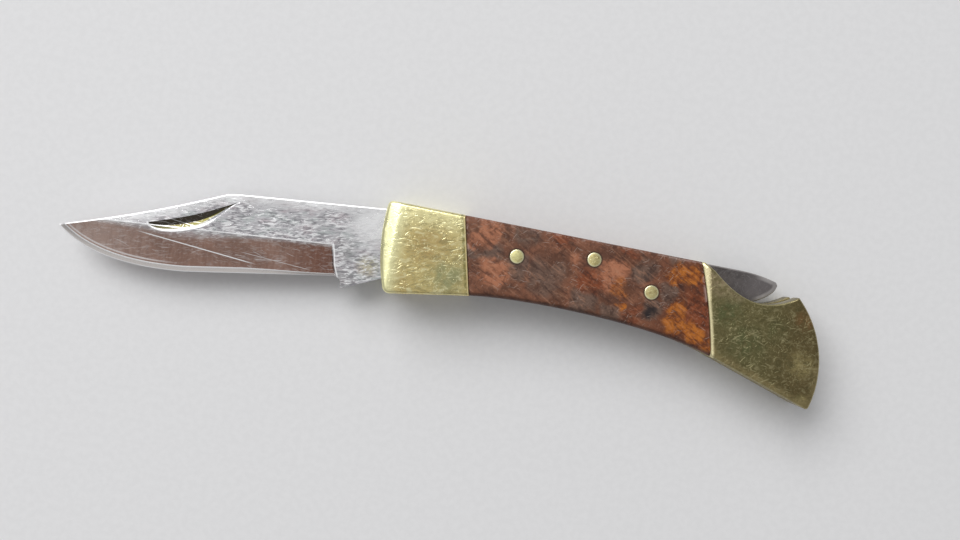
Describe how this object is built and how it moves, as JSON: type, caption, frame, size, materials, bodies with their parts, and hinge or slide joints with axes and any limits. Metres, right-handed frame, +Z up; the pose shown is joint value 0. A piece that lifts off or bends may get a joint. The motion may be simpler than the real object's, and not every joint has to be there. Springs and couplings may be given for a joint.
{
  "type": "folding pocket knife",
  "caption": "Small lockback folding knife, shown open: clip-point blade, brass bolsters, burl wood scales and a rocking lock bar in the back of the handle.",
  "frame": {"origin": "on the axis of the blade pivot, in the plane that the knife lies on", "axes": "+X along the spine of the handle from the pivot to the butt, so the open blade points to -X; +Y from the belly to the spine; +Z up through the sides"},
  "size_m": [0.1311, 0.0207, 0.01],
  "materials": {
    "blade_steel": "polished, finely scratched",
    "yellow_brass": "polished, worn",
    "aged_brass": "tarnished, olive",
    "burl_wood": "oiled red-brown burl",
    "pin_brass": "pale, polished",
    "lock_steel": "satin, dull"
  },
  "bodies": {
    "handle": {"liner_upper": "yellow_brass", "liner_lower": "yellow_brass", "front_bolster_upper": "yellow_brass", "front_bolster_lower": "yellow_brass", "rear_bolster_upper": "aged_brass", "rear_bolster_lower": "aged_brass", "scale_upper": "burl_wood", "scale_lower": "burl_wood", "front_scale_pin_upper": "pin_brass", "front_scale_pin_lower": "pin_brass", "rear_scale_pin_upper": "pin_brass", "rear_scale_pin_lower": "pin_brass", "bolster_rivet_1_upper": "yellow_brass", "bolster_rivet_1_lower": "yellow_brass", "bolster_rivet_2_upper": "yellow_brass", "bolster_rivet_2_lower": "yellow_brass", "blade_pivot_pin": "yellow_brass", "lock_bar_pin": "pin_brass", "butt_spacer": "aged_brass", "butt_pin_1": "aged_brass", "butt_pin_2": "aged_brass", "lock_spring": "lock_steel"},
    "blade": {"blade": "blade_steel"},
    "lock_bar": {"lock_bar": "lock_steel"}
  },
  "joints": [
    {"name": "blade_pivot", "type": "hinge", "parent": "handle", "child": "blade", "pos_m": [0, 0, 0.005], "axis": [0, 0, 1], "range_deg": [0, 171]},
    {"name": "lock_rocker", "type": "hinge", "parent": "handle", "child": "lock_bar", "pos_m": [0.028, 0.0062, 0.005], "axis": [0, 0, -1], "range_deg": [-1.6, 2], "stiffness_Nm_per_rad": 6, "deforming": ["lock_spring"]}
  ]
}
